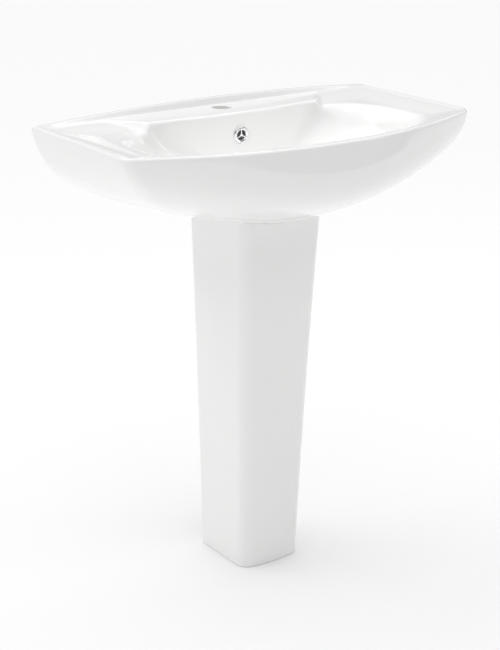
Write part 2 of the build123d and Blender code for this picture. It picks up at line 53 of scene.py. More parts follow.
# Sizes of the sink are millimetres, and a reach is counted from the wall towards the user.
# Rim and hull: the hull's plan is a function of its depth u, 0 at the top and 1 at the keel
WALL_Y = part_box("basin")[1].y / MM
RIM_Z = 850.0
RIM_ROUND = 6.0
HALF_WIDTH = 362.0
REACH = 409.0             # to the middle of the bowed front
SIDE_REACH = 310.6        # to the point where side and front would meet
CORNER_R = 33.0
HULL_TOP_Z = RIM_Z - RIM_ROUND
HULL_DEPTH = 184.5
HULL_START = 0.03         # the rim's rounding ends here
HULL_END = 0.97           # the keel is flat from here
CHINA_T = 11.0
DECK_T = 22.0

# Bowl: its plan is a function of its depth v, 0 at the rim and 1 at the waste
BOWL_HALF = 264.0
BOWL_BACK = 105.0         # reach of the back edge's middle
BOWL_FRONT = 388.0
BOWL_MID = 238.0          # reach of the widest line
BOWL_DEPTH = 150.0
BACK_BOW = 17.0           # the back edge's ends lie this much nearer to the wall
BACK_CORNER = 180.0       # half the distance between those ends
BACK_SWELL = 1.26         # how far the oblong would run on behind the back edge
BOWL_CORNER = math.atan2(BOWL_MID - BOWL_BACK + BACK_BOW, BACK_CORNER)  # direction of those ends
LIP_DECK = 6.0            # width of the rounded lip along the deck, the shelves and the front
LIP_SHELF = 28.0
LIP_FRONT = 10.0

# Shelves, tap deck and upstand, and the length over which each fades into the next
SHELF_DROP = 8.0
SHELF_FADE = 75.0
SHELF_STEP = 2.5
STEP_FADE = 14.0
DECK_FRONT_HALF = 178.0
DECK_BACK_HALF = 252.0
DECK_FADE = 20.0
UPSTAND_T = 14.0
UPSTAND_RISE = 13.0
UPSTAND_FADE = 11.0
TAP_R = 17.5
TAP_Y = WALL_Y - 46.0
TAP_LIP = 2.5

# Waste hole, the pocket for the waste's flange, and the boss around them
WASTE_REACH = 180.0
WASTE_Y = WALL_Y - WASTE_REACH
WASTE_HOLE_R = 23.0
SEAT_R = 33.5             # the bowl ends in a circle of this radius
SEAT_Z = RIM_Z - BOWL_DEPTH
POCKET_R = 32.8
POCKET_H = 4.0
BOSS_R = 38.0
BOSS_Z = 652.0
BOSS_EDGE = 2.0

# Overflow: its hole, and the duct that runs down behind the bowl and forward to the waste
OVERFLOW_Z = 809.0
OVERFLOW_R = 11.0
OVERFLOW_REACH = 105.7
DUCT_WALL = 8.0
DUCT_HALF = 13.0
DUCT_BACK = 87.0
DUCT_FRONT = 101.0
DUCT_BACK_BEND_Z = 705.0  # the back slants forward from here down to the floor
DUCT_FRONT_BEND_Z = 716.0
DUCT_FLOOR = (118.0, 669.0)   # reach where the level floor starts, and its height
DUCT_ROOF = (130.0, 687.0)

# Back wall: access opening and wall fixings
BACK_T = 14.0
WINDOW_HALF_X = 110.0
WINDOW_HALF_Z = 60.0
WINDOW_R = 18.0
WINDOW_Z = 750.0
FIXING_X = 140.0
FIXING_Z = 790.0
FIXING_HOLE_R = 7.0

# Wall studs: how far they stand out inside the basin and reach into the wall, and both threads
# as crest radius, pitch and depth
STUD_IN = 26.0
STUD_OUT = 60.0
STUD_POINT = 10.0
STUD_CHAMFER = 1.2
MACHINE_THREAD = (5.0, 1.5, 0.85)
WOOD_THREAD = (4.8, 3.6, 1.3)
THREAD_FADE = 4.0         # both threads run out over this length where they meet
THREAD_STEP = 0.25

# Pedestal: height, half-width and reach of its back and front, as in the CAD column
PEDESTAL_STEPS = ((0.0, 67.5, 67.0, 209.0), (345.0, 75.6, 68.0, 226.0), (700.0, 87.0, 69.0, 247.5))
PEDESTAL_TOP = 712.0      # above the belly, which cuts it to shape
PEDESTAL_CORNER = 27.0
PEDESTAL_BOW = 3.0
PEDESTAL_T = 12.0
PEDESTAL_EDGE = 3.0       # rounding of the foot and of the back corners
SLOT_HALF = 54.0          # half-width of the open back
SLOT_REACH = (50.0, 110.0)
SEAT_GAP = 1.5            # bedding gap under the belly
SEAT_LIP = 1.8            # width of the outer lip that closes the gap
LIP_GAP = 0.15
BED_Z = 640.0             # lower than the belly's keel
LUG = 24.0
LUG_H = 20.0
LUG_EDGE = 2.0
SCREW_R = 3.5

# Camera: place in metres, angles in radians, lens in millimetres
CAMERA_PLACE = (-1.5162, -2.1010, 1.3686)
CAMERA_TILT = 0.33413
CAMERA_TURN = 0.61511
LENS = 83.08

# Room: its mean brightness and the rise along X, Y and Z, the floor in metres, the sky's angle in degrees
ROOM_LEVEL = 0.45
ROOM_FALL = (-0.08, 0.22, 0.0)
FLOOR_HALF = 30.0
SKY_STRENGTH = 1.75
SKY_ANGLE = 105

# Soft boxes: place, aim and size in metres, power in watts, spread in degrees, small where a grid narrows it
SOFT_BOXES = {
    "box_left": ((-1.35, 1.25, 2.75), (0.2, 0.0, 0.8), (1.2, 0.9), 5.0, 180),
    "grid_top": ((0.0, -0.05, 2.3), (0.0, -0.05, 0.7), (0.42, 0.16), 0.15, 10),
    "strip_right_back": ((2.6, 0.35, 1.9), (-0.2, 0.05, 0.82), (0.2, 1.0), 1.6, 180),
    "strip_right_front": ((1.7, -1.5, 1.6), (-0.17, 0.08, 0.82), (0.2, 1.0), 1.4, 180),
}

# One finish for each material slot of the record, and bisque, the unglazed inside of the castings
FINISHES = {
    "glazed_china": dict(colour=(0.945, 0.945, 0.94), drift=0.004, rough=(0.03, 0.07), patch=7.0, grain=26.0,
                         relief=0.00003, IOR=1.55, Coat_Weight=0.4, Coat_Roughness=0.02),
    "bisque": dict(colour=(0.50, 0.47, 0.43), drift=0.06, rough=(0.75, 0.95), patch=30.0, grain=900.0,
                   relief=0.0002),
    "black_rubber": dict(colour=(0.03, 0.03, 0.031), drift=0.15, rough=(0.55, 0.75), patch=60.0, grain=1500.0,
                         relief=0.00008),
    "chrome": dict(colour=(0.80, 0.81, 0.82), drift=0.02, rough=(0.03, 0.09), patch=80.0, grain=220.0,
                   relief=0.000004, Metallic=1.0),
    "brass": dict(colour=(0.74, 0.57, 0.27), drift=0.08, rough=(0.22, 0.40), patch=70.0, grain=260.0,
                  relief=0.00004, stretch=(0.3, 0.3, 6.0), Metallic=1.0),
    "white_plastic": dict(colour=(0.87, 0.87, 0.86), drift=0.01, rough=(0.20, 0.32), patch=50.0, grain=1100.0,
                          relief=0.00003),
    "grey_plastic": dict(colour=(0.42, 0.43, 0.44), drift=0.05, rough=(0.45, 0.60), patch=60.0, grain=1200.0,
                         relief=0.00005),
    "zinc_steel": dict(colour=(0.62, 0.63, 0.65), drift=0.10, rough=(0.22, 0.42), patch=350.0, grain=900.0,
                       relief=0.00001, Metallic=1.0),
}

# The noises vary between these values over most of a surface
NOISE_LOW, NOISE_HIGH = 0.3, 0.7


def smooth(t):
    """Soft step from 0 to 1."""
    t = np.clip(t, 0.0, 1.0)
    return t * t * (3 - 2 * t)


def rim_polyline():
    """Dense closed outline of the rim, as (x, reach), starting at the back right corner."""
    sag = REACH - SIDE_REACH
    bow_r = (HALF_WIDTH**2 + sag**2) / (2 * sag)
    bow_y = REACH - bow_r
    corner_x = HALF_WIDTH - CORNER_R
    corner_y = bow_y + math.sqrt((bow_r - CORNER_R) ** 2 - corner_x**2)
    meet = math.atan2(corner_y - bow_y, corner_x)
    side = [(HALF_WIDTH, corner_y * i / 200) for i in range(200)]
    fillet = [(corner_x + CORNER_R * math.cos(a), corner_y + CORNER_R * math.sin(a))
              for a in np.linspace(0, meet, 80)]
    bow = [(bow_r * math.cos(a), bow_y + bow_r * math.sin(a))
           for a in np.linspace(meet, math.pi / 2, 200)]
    right = side + fillet[:-1] + bow
    left = [(-x, r) for x, r in reversed(right[:-1])]
    back = [(x, 0.0) for x in np.linspace(-HALF_WIDTH, HALF_WIDTH, 400)[1:-1]]
    return np.array(right + left + back)


def ray_angles(count):
    """Angles round the bowl's middle: an even count, denser where an outline turns a corner."""
    back_corner = math.atan2(BOWL_MID, HALF_WIDTH)
    front_corner = -math.atan2(SIDE_REACH - BOWL_MID, HALF_WIDTH)
    grid = np.linspace(-math.pi / 2, math.pi / 2, 4001)
    density = np.ones_like(grid)
    dense = ((BOWL_CORNER, 0.07, 5.0), (front_corner, 0.08, 2.5), (back_corner, 0.03, 1.5))
    for centre, width, gain in dense:
        density += gain * np.exp(-(((grid - centre) / width) ** 2))
    total = np.concatenate([[0], np.cumsum((density[1:] + density[:-1]) / 2)])
    half = np.interp(np.linspace(0, total[-1], count // 2 + 1), total, grid)
    # one ray goes exactly through the rim's back corner
    half[np.abs(half - back_corner).argmin()] = back_corner
    mirror = math.pi - half[1:-1][::-1]
    return np.concatenate([half, mirror])


def rays_to_rim(angles):
    """Where the rays from the bowl's middle meet the rim, with the outline's outward normals."""
    outline = rim_polyline()
    nxt = np.roll(outline, -1, axis=0)
    middle = np.array([0.0, BOWL_MID])
    edge = nxt - outline
    points, normals = [], []
    for a in angles:
        d = np.array([math.cos(a), -math.sin(a)])
        rel = outline - middle
        cross = d[0] * edge[:, 1] - d[1] * edge[:, 0]
        cross = np.where(np.abs(cross) < 1e-12, 1e-12, cross)
        t = (rel[:, 0] * edge[:, 1] - rel[:, 1] * edge[:, 0]) / cross
        s = (rel[:, 0] * d[1] - rel[:, 1] * d[0]) / cross
        good = np.where((t > 0) & (s >= -1e-9) & (s <= 1 + 1e-9))[0]
        k = good[t[good].argmax()]
        points.append(middle + d * t[k])
        n = np.array([edge[k, 1], -edge[k, 0]])
        n = n / np.linalg.norm(n)
        normals.append(n if n @ d > 0 else -n)
    return np.array(points), np.array(normals)


def bowl_outline(v, angles, grow=0.0):
    """Bowl in plan at depth v: an oblong whose middle moves to the waste, its back clipped by a bowed edge.

    v holds one value for each ray. The powers set how steeply each wall leaves the rim.
    """
    v = np.clip(v, 0.0, 1.0)
    side = (1 - v**2.2) ** 0.7
    front = (1 - v**2) ** 0.7
    back = (1 - v**3) ** 0.45
    seat = SEAT_R + grow
    half = seat + (BOWL_HALF + grow - seat) * side
    middle = WASTE_REACH + (BOWL_MID - WASTE_REACH) * front
    wall = WASTE_REACH - 1.3 * seat + (BOWL_BACK - grow - WASTE_REACH + 1.3 * seat) * back
    to_wall = middle - wall
    to_front = WASTE_REACH + seat + (BOWL_FRONT + grow - WASTE_REACH - seat) * front - middle
    c, s = np.cos(angles), np.sin(angles)
    behind = s > 0
    power = 2 + np.where(behind, 1.0, 0.4) * (1 - v)
    depth = np.where(behind, seat + (to_wall * BACK_SWELL - seat) * side, to_front)
    r = (np.abs(c / half) ** power + np.abs(s / depth) ** power) ** (-1 / power)
    bow = BACK_BOW / BACK_CORNER**2 * (1 - v)
    sharp = 7 + 25 * (1 - v) ** 2
    safe = np.where(s > 0.05, s, 1.0)
    spread = np.sqrt(np.maximum(0.0, safe**2 - 4 * to_wall * bow * c**2))
    cut = 2 * to_wall / (safe + spread)
    clipped = (r**-sharp + cut**-sharp) ** (-1 / sharp)
    r = np.where(s > 0.05, clipped, r)
    return np.stack([r * c, middle - r * s], -1)


def top_height(x, r):
    """Height of the top surface: rim, upstand, raised tap deck and the shelves that fall to the bowl."""
    rise = UPSTAND_RISE * np.maximum(0.0, 1 - (x / (HALF_WIDTH - 6)) ** 2)
    stand = 1 - smooth((r - UPSTAND_T + 3) / UPSTAND_FADE)
    limit = DECK_BACK_HALF + (DECK_FRONT_HALF - DECK_BACK_HALF) * np.clip(r / BOWL_BACK, 0, 1.6)
    deck = smooth((limit + 9 - np.abs(x)) / DECK_FADE)
    sag = REACH - SIDE_REACH
    front = REACH - sag * (x / HALF_WIDTH) ** 2 - r
    edge = np.minimum(np.minimum(HALF_WIDTH - np.abs(x), front), r - UPSTAND_T)
    fall = SHELF_DROP * smooth((edge - 6) / SHELF_FADE) + SHELF_STEP * smooth((edge - 4) / STEP_FADE)
    return RIM_Z + rise * stand - fall * (1 - deck)


def hull_ring(u, rim, grow=0.0):
    """Hull in plan at depth u: the rim's outline shrinks and turns into half an ellipse.

    The powers set how full the hull is across (wide) and towards the user (deep).
    """
    half, reach = HALF_WIDTH + grow, REACH + grow
    x = rim[:, 0] * half / HALF_WIDTH
    r = rim[:, 1] * reach / REACH
    wide = (1 - u**3.3) ** 0.8 - 0.3 * u**1.3 * (1 - u)
    deep = 0.45 + 0.55 * (1 - u**3.2) ** 1.3 + u * (1 - u) * (0.08 + 0.33 * u)
    blend = min(1.0, 1.6 * u**1.8)
    a = np.arctan2(r / reach, x / half)
    on_wall = r < 1e-6
    px = np.where(on_wall, x, x + blend * (half * np.cos(a) - x))
    pr = np.where(on_wall, 0.0, r + blend * (reach * np.sin(a) - r))
    z = np.full(len(x), HULL_TOP_Z - (HULL_DEPTH + grow) * u)
    return np.stack([wide * px, deep * pr, z], -1)


def inset_rim(rim, normals, inset):
    """Rim outline drawn in by inset, keeping the back corners square."""
    x, r = rim[:, 0], rim[:, 1]
    on_wall = r < 1e-6
    side_x = x - inset * normals[:, 0]
    side_r = np.maximum(r - inset * normals[:, 1], inset)
    back_x = np.clip(x, -(HALF_WIDTH - inset), HALF_WIDTH - inset)
    return np.stack([np.where(on_wall, back_x, side_x), np.where(on_wall, inset, side_r)], -1)


def add_mesh(name, bm):
    """Object made from a closed mesh, its faces turned outwards."""
    bmesh.ops.recalc_face_normals(bm, faces=bm.faces)
    mesh = bpy.data.meshes.new(name)
    bm.to_mesh(mesh)
    bm.free()
    obj = bpy.data.objects.new(name, mesh)
    bpy.context.scene.collection.objects.link(obj)
    return obj


def coated(obj, material):
    """The same object with one material all over."""
    obj.data.materials.clear()
    obj.data.materials.append(material)
    return obj


def finished(obj, degrees):
    """Smooth shading, kept crisp where faces meet at more than an angle."""
    obj.data.shade_smooth()
    obj.data.set_sharp_from_angle(angle=math.radians(degrees))
    return obj


def rings_to_object(name, rings):
    """Closed skin through rings of equal length; each ring is (x, reach, z) in millimetres."""
    count = len(rings[0])
    verts = np.concatenate(rings)
    verts = np.stack([verts[:, 0], WALL_Y - verts[:, 1], verts[:, 2]], -1) * MM
    faces = []
    for j in range(len(rings) - 1):
        a, b = j * count, (j + 1) * count
        faces += [(a + i, a + (i + 1) % count, b + (i + 1) % count, b + i) for i in range(count)]
    last = (len(rings) - 1) * count
    faces.append(tuple(range(count))[::-1])
    faces.append(tuple(last + i for i in range(count)))
    mesh = bpy.data.meshes.new(name)
    mesh.from_pydata(verts.tolist(), [], faces)
    bm = bmesh.new()
    bm.from_mesh(mesh)
    bpy.data.meshes.remove(mesh)
    bmesh.ops.remove_doubles(bm, verts=bm.verts, dist=2e-6)
    return add_mesh(name, bm)


def raised(plan, z):
    """Outline in plan lifted to height z, a value for each point."""
    return np.stack([plan[:, 0], plan[:, 1], z], -1)


def outward(edge):
    """Normals of a closed outline round the rays' middle, one for each point, turned outwards."""
    tangent = np.roll(edge, -1, axis=0) - np.roll(edge, 1, axis=0)
    out = np.stack([-tangent[:, 1], tangent[:, 0]], -1)
    out /= np.linalg.norm(out, axis=1)[:, None]
    middle = np.array([0.0, BOWL_MID])
    return out * np.sign(((edge - middle) * out).sum(1))[:, None]


def lip_widths(angles):
    """Width of the bowl's lip along each ray, tight along the deck and soft along the shelves."""
    turn = np.abs(np.where(np.abs(angles) <= math.pi / 2, angles, math.pi - angles))
    signed = np.where(np.sin(angles) > 0, turn, -turn)
    off_deck = smooth((BOWL_CORNER + 0.03 - signed) / 0.3)
    to_front = smooth((-signed - 0.5) / 0.9)
    return LIP_DECK + (LIP_SHELF - LIP_DECK) * off_deck * (1 - to_front) + (LIP_FRONT - LIP_DECK) * to_front


def hull_lean(rim, normals):
    """Angle between the vertical and the hull's wall right under the rim."""
    start = hull_ring(0.0, rim)
    below = hull_ring(HULL_START, rim)
    out_step = ((below[:, :2] - start[:, :2]) * normals).sum(1)
    return np.maximum(0.0, np.arctan2(out_step, start[:, 2] - below[:, 2]))


def basin_rings():
    """Rings from the waste seat up the bowl, over shelf, deck and rim, and down the hull to the keel."""
    angles = ray_angles(384)
    rim, normals = rays_to_rim(angles)
    edge = bowl_outline(np.zeros(len(angles)), angles)
    out = outward(edge)
    # a lip never takes more than part of the room up to the rounded rim
    top = inset_rim(rim, normals, RIM_ROUND)
    free = 0.6 * ((top - edge) * out).sum(1)
    lip = (lip_widths(angles) ** -6 + free**-6) ** (-1 / 6)
    flare = edge + out * lip[:, None]
    z_top = top_height(flare[:, 0], flare[:, 1])
    v_start = (RIM_Z - z_top + lip) / BOWL_DEPTH
    rings = []
    for t in np.linspace(0, 1, 61)[::-1]:
        v = v_start + (1 - v_start) * (1 - (1 - t) ** 2.4)
        rings.append(raised(bowl_outline(v, angles), RIM_Z - BOWL_DEPTH * v))
    for a in np.linspace(math.pi / 2, 0, 13)[1:]:
        z = z_top - lip * (1 - math.cos(a))
        plan = bowl_outline((RIM_Z - z) / BOWL_DEPTH, angles) + out * (lip * (1 - math.sin(a)))[:, None]
        rings.append(raised(flare if a == 0 else plan, z))
    for s in (np.linspace(1, 0, 56) ** 1.5)[1:]:
        plan = top + (flare - top) * s
        rings.append(raised(plan, top_height(plan[:, 0], plan[:, 1])))
    # the rounding stops where it meets the hull's own lean, so no crease runs round under the rim
    z_edge = top_height(top[:, 0], top[:, 1])
    lean = hull_lean(rim, normals)
    for t in np.linspace(0, 1, 11)[1:]:
        a = t * (math.pi / 2 - lean)
        plan = inset_rim(rim, normals, RIM_ROUND * (1 - np.sin(a)))
        rings.append(raised(plan, z_edge - RIM_ROUND * (1 - np.cos(a))))
    for t in np.linspace(0, 1, 81):
        rings.append(hull_ring(HULL_START + (HULL_END - HULL_START) * (1 - (1 - t) ** 1.5), rim))
    return rings


def cut(obj, tools, operation):
    """Boolean of a skin with one or more tool objects, applied; the tools are removed."""
    group = bpy.data.collections.new("tools")
    bpy.context.scene.collection.children.link(group)
    for tool in tools:
        bpy.context.scene.collection.objects.unlink(tool)
        group.objects.link(tool)
    modifier = obj.modifiers.new("cut", "BOOLEAN")
    modifier.operation = operation
    modifier.solver = "MANIFOLD"
    modifier.operand_type = "COLLECTION"
    modifier.collection = group
    modifier.material_mode = "TRANSFER"
    done = bpy.data.meshes.new_from_object(obj.evaluated_get(bpy.context.evaluated_depsgraph_get()))
    obj.modifiers.clear()
    obj.data = done
    for tool in tools:
        bpy.data.objects.remove(tool)
    bpy.data.collections.remove(group)


def capped(name, bm, loops):
    """Solid between loops of vertices of equal length, closed at both ends."""
    count = len(loops[0])
    for low, high in zip(loops, loops[1:]):
        for i in range(count):
            j = (i + 1) % count
            bm.faces.new((low[i], low[j], high[j], high[i]))
    bm.faces.new(loops[0])
    bm.faces.new(loops[-1][::-1])
    return add_mesh(name, bm)


def lathe(name, profile, base, axis="Z", count=96):
    """Closed turned solid from (radius, height) points; the first and last radius are zero."""
    bm = bmesh.new()
    loops = []
    for radius, height in profile:
        if radius < 1e-6:
            loops.append([bm.verts.new((0, 0, height * MM))])
        else:
            turn = [2 * math.pi * i / count for i in range(count)]
            loops.append([bm.verts.new((radius * math.cos(a) * MM, radius * math.sin(a) * MM, height * MM))
                          for a in turn])
    for low, high in zip(loops, loops[1:]):
        for i in range(count):
            j = (i + 1) % count
            if len(low) == 1:
                bm.faces.new((low[0], high[i], high[j]))
            elif len(high) == 1:
                bm.faces.new((low[i], high[0], low[j]))
            else:
                bm.faces.new((low[i], high[i], high[j], low[j]))
    if axis == "Y":
        for v in bm.verts:
            v.co = Vector((v.co.x, -v.co.z, v.co.y))
    for v in bm.verts:
        v.co += Vector(base) * MM
    return add_mesh(name, bm)


def bore(radius, low, high):
    """Profile of a plain round hole."""
    return [(0, low), (radius, low), (radius, high), (0, high)]


def prism(name, outline, x0, x1):
    """Closed prism along X from (reach, z) points."""
    bm = bmesh.new()
    sides = [[bm.verts.new((x * MM, (WALL_Y - r) * MM, z * MM)) for r, z in outline] for x in (x0, x1)]
    return capped(name, bm, sides)


def overflow_duct(wall):
    """Duct from the overflow hole down behind the bowl to the waste hole, grown by its wall."""
    back, front = DUCT_BACK - wall, DUCT_FRONT + wall
    half = DUCT_HALF + wall
    top = OVERFLOW_Z + half
    floor, roof = DUCT_FLOOR[1] - wall, DUCT_ROOF[1] + wall
    return prism("duct", [
        (front, top), (back, top), (back, DUCT_BACK_BEND_Z - wall / 2), (DUCT_FLOOR[0], floor),
        (WASTE_REACH, floor), (WASTE_REACH, roof), (DUCT_ROOF[0], roof), (front, DUCT_FRONT_BEND_Z),
    ], -half, half)


def basin_hollow():
    """Space inside the walls of the casting."""
    angles = ray_angles(160)
    rim, _ = rays_to_rim(angles)
    first = (HULL_TOP_Z - (RIM_Z - DECK_T)) / (HULL_DEPTH - CHINA_T)
    rings = []
    for u in first + (HULL_END - first) * (1 - (1 - np.linspace(0, 1, 33)) ** 1.5):
        ring = hull_ring(u, rim, -CHINA_T)
        ring[:, 1] = np.maximum(ring[:, 1], BACK_T)
        rings.append(ring)
    space = rings_to_object("hollow", rings)
    shell = []
    for t in np.linspace(0, 1, 41):
        v = np.full(len(angles), 1 - (1 - t) ** 2.4)
        plan = bowl_outline(v, angles, CHINA_T)
        shell.append(raised(plan, RIM_Z - (BOWL_DEPTH + CHINA_T) * v))
    walls = [rings_to_object("bowl_wall", shell), overflow_duct(DUCT_WALL), waste_boss()]
    cut(space, walls, "DIFFERENCE")
    return space


def waste_boss():
    """Boss under the bowl that the waste is clamped to."""
    top = SEAT_Z - 2
    edge = [(BOSS_R - BOSS_EDGE, BOSS_Z), (BOSS_R, BOSS_Z + BOSS_EDGE)]
    profile = [(0, BOSS_Z)] + edge + [(BOSS_R, top), (0, top)]
    return lathe("boss", profile, (0, WASTE_Y, 0))


def window():
    """Rounded access opening through the back wall."""
    bm = bmesh.new()
    loops = []
    for y in (-4, BACK_T + 4):
        loop = []
        for cx, cz, start in ((1, 1, 0), (-1, 1, 90), (-1, -1, 180), (1, -1, 270)):
            for i in range(13):
                a = math.radians(start + 90 * i / 12)
                x = cx * (WINDOW_HALF_X - WINDOW_R) + WINDOW_R * math.cos(a)
                z = WINDOW_Z + cz * (WINDOW_HALF_Z - WINDOW_R) + WINDOW_R * math.sin(a)
                loop.append(bm.verts.new((x * MM, (WALL_Y - y) * MM, z * MM)))
        loops.append(loop)
    return capped("window", bm, loops)


def make_basin(glaze, bisque):
    """The whole casting: outer skin, waste boss, hollow walls and every hole; unglazed inside."""
    skin = coated(rings_to_object("basin_skin", basin_rings()), glaze)
    cut(skin, [coated(waste_boss(), glaze)], "UNION")
    lip = [(TAP_R + TAP_LIP * (1 - math.sin(a)), -TAP_LIP * (1 - math.cos(a)))
           for a in np.linspace(math.pi / 2, 0, 7)]
    tap_profile = [(0, -30), (TAP_R, -30)] + lip + [(TAP_R + TAP_LIP, 4), (0, 4)]
    tap = lathe("tap", tap_profile, (0, TAP_Y, RIM_Z))
    overflow_place = (0, WALL_Y - OVERFLOW_REACH, OVERFLOW_Z)
    overflow = lathe("overflow", bore(OVERFLOW_R, -12, 10), overflow_place, "Y", 48)
    floor = SEAT_Z - POCKET_H
    pocket = [(WASTE_HOLE_R, floor), (POCKET_R, floor), (POCKET_R, SEAT_Z + 2), (0, SEAT_Z + 2)]
    waste = lathe("waste", [(0, BOSS_Z - 2), (WASTE_HOLE_R, BOSS_Z - 2)] + pocket, (0, WASTE_Y, 0))
    fixing = bore(FIXING_HOLE_R, -3, BACK_T + 3)
    fixings = [lathe("fixing", fixing, (side * FIXING_X, WALL_Y, FIXING_Z), "Y", 32) for side in (-1, 1)]
    cut(skin, [coated(basin_hollow(), bisque)], "DIFFERENCE")
    drilled = [coated(tool, glaze) for tool in (tap, overflow, waste, window(), *fixings)]
    cut(skin, drilled + [coated(overflow_duct(0.0), bisque)], "DIFFERENCE")
    return finished(skin, 40)


def pedestal_ring(z, inset):
    """Level of the pedestal in plan: straight back and sides, round front corners, bowed front."""
    levels = np.array(PEDESTAL_STEPS)
    half, back, front = (np.polyval(np.polyfit(levels[:, 0], levels[:, k], 2), z) for k in (1, 2, 3))
    x, back, front = half - inset, back + inset, front - inset
    corner = PEDESTAL_CORNER - inset
    chord = half - PEDESTAL_CORNER
    bow_r = (chord**2 + PEDESTAL_BOW**2) / (2 * PEDESTAL_BOW)
    bow_c = front + PEDESTAL_BOW - bow_r
    corner_c = bow_c + math.sqrt((bow_r - corner) ** 2 - (x - corner) ** 2)
    meet = math.atan2(corner_c - bow_c, x - corner)
    side = x - PEDESTAL_EDGE
    right = [(side * i / 8, back) for i in range(8)]
    right += [(side + PEDESTAL_EDGE * math.sin(a), back + PEDESTAL_EDGE * (1 - math.cos(a)))
              for a in np.linspace(0, math.pi / 2, 7)]
    right += [(x, r) for r in np.linspace(back + PEDESTAL_EDGE, corner_c, 12)[1:-1]]
    right += [(x - corner * (1 - math.cos(a)), corner_c + corner * math.sin(a))
              for a in np.linspace(0, meet, 17)]
    right += [(bow_r * math.cos(a), bow_c + bow_r * math.sin(a))
              for a in np.linspace(meet, math.pi / 2, 25)[1:]]
    left = [(-px, r) for px, r in reversed(right[1:-1])]
    return np.array([(px, r, z) for px, r in right + left])


def pedestal_solid(name, inset, low, high, foot=0.0):
    """Column between two heights, its foot rounded."""
    turns = np.linspace(0, math.pi / 2, 7)[:-1] if foot else []
    rings = [pedestal_ring(low + foot * (1 - math.cos(a)), inset + foot * (1 - math.sin(a))) for a in turns]
    rings += [pedestal_ring(z, inset) for z in np.linspace(low + foot, high, 50)]
    return rings_to_object(name, rings)


def hull_solid(grow):
    """The belly of the basin as a tool that shapes the pedestal's top edge."""
    rim, _ = rays_to_rim(ray_angles(240))
    return rings_to_object("belly", [hull_ring(u, rim, grow) for u in np.linspace(0.3, HULL_END, 60)])


def make_pedestal(glaze, bisque):
    """Hollow column, open at the back, with screw lugs at the foot and a lip that closes on the belly."""
    skin = coated(pedestal_solid("pedestal_skin", 0.0, 0.0, PEDESTAL_TOP, foot=PEDESTAL_EDGE), glaze)
    above = PEDESTAL_TOP + 3
    bed = pedestal_solid("bed", SEAT_LIP, BED_Z, above)
    cut(bed, [hull_solid(SEAT_GAP)], "INTERSECT")
    inside = coated(pedestal_solid("inside", PEDESTAL_T, -2.0, above), bisque)
    near, far = SLOT_REACH
    opening = [(near, -3), (far, -3), (far, above + 3), (near, above + 3)]
    slot = coated(prism("slot", opening, -SLOT_HALF, SLOT_HALF), glaze)
    cut(skin, [inside, slot], "DIFFERENCE")
    cut(skin, [coated(bed, bisque), coated(hull_solid(LIP_GAP), glaze)], "DIFFERENCE")
    wall = PEDESTAL_STEPS[0][2] + PEDESTAL_T
    end = wall + LUG
    outline = [(wall - 1, 0), (end, 0), (end, LUG_H - LUG_EDGE), (end - LUG_EDGE, LUG_H), (wall - 1, LUG_H)]
    countersink = [(SCREW_R, LUG_H - 1.5), (SCREW_R + 1.5, LUG_H + 1), (0, LUG_H + 1)]
    lug_x = PEDESTAL_STEPS[0][1] - PEDESTAL_T - LUG / 2 + 2
    hole_y = WALL_Y - wall - LUG / 2
    profile = [(0, -1), (SCREW_R, -1)] + countersink
    lugs, holes = [], []
    for x in (-lug_x, lug_x):
        lugs.append(coated(prism("lug", outline, x - LUG / 2, x + LUG / 2), bisque))
        holes.append(coated(lathe("screw_hole", profile, (x, hole_y, 0), count=32), bisque))
    cut(skin, lugs, "UNION")
    cut(skin, holes, "DIFFERENCE")
    return finished(skin, 35)


def thread_relief(turn):
    """Depth of a rounded V thread over one pitch, 0 at the crest and 1 at the root."""
    return 0.5 - 0.5 * math.cos(2 * math.pi * turn)


def make_stud(name, side):
    """Hanger stud with rolled threads: machine thread for the nut, coarse wood thread with a point."""
    count = 32
    start, middle, end = WALL_Y - BACK_T - STUD_IN, WALL_Y - 1.0, WALL_Y + STUD_OUT
    stations = [start + i * THREAD_STEP for i in range(int((end - start) / THREAD_STEP))] + [end - 0.02]
    bm = bmesh.new()
    rings = []
    for y in stations:
        crest, pitch, depth = MACHINE_THREAD if y < middle else WOOD_THREAD
        fade = min(1.0, abs(y - middle) / THREAD_FADE)
        taper = min(1.0, (y - start + 0.3) / STUD_CHAMFER, (end - y) / STUD_POINT)
        ring = []
        for i in range(count):
            turn = i / count
            r = (crest - depth * fade * thread_relief(y / pitch - turn)) * max(taper, 0.01)
            a = 2 * math.pi * turn
            ring.append(bm.verts.new(((side * FIXING_X + r * math.cos(a)) * MM, y * MM,
                                      (FIXING_Z + r * math.sin(a)) * MM)))
        rings.append(ring)
    return capped(name, bm, rings)


def camera():
    """Camera at the photograph's viewing angle."""
    data = bpy.data.cameras.new("camera")
    data.sensor_fit = "AUTO"
    data.sensor_width = 36.0
    data.lens = LENS
    obj = bpy.data.objects.new("camera", data)
    obj.location = CAMERA_PLACE
    obj.rotation_euler = (math.pi / 2 - CAMERA_TILT, 0.0, -CAMERA_TURN)
    bpy.context.scene.collection.objects.link(obj)
    bpy.context.scene.camera = obj


def area_light(name, location, target, size, power, spread):
    """Soft rectangular light aimed at a point."""
    data = bpy.data.lights.new(name, "AREA")
    data.shape = "RECTANGLE"
    data.size, data.size_y = size
    data.energy = power
    data.spread = math.radians(spread)
    obj = bpy.data.objects.new(name, data)
    obj.location = location
    obj.rotation_euler = (Vector(target) - Vector(location)).to_track_quat("-Z", "Y").to_euler()
    bpy.context.scene.collection.objects.link(obj)


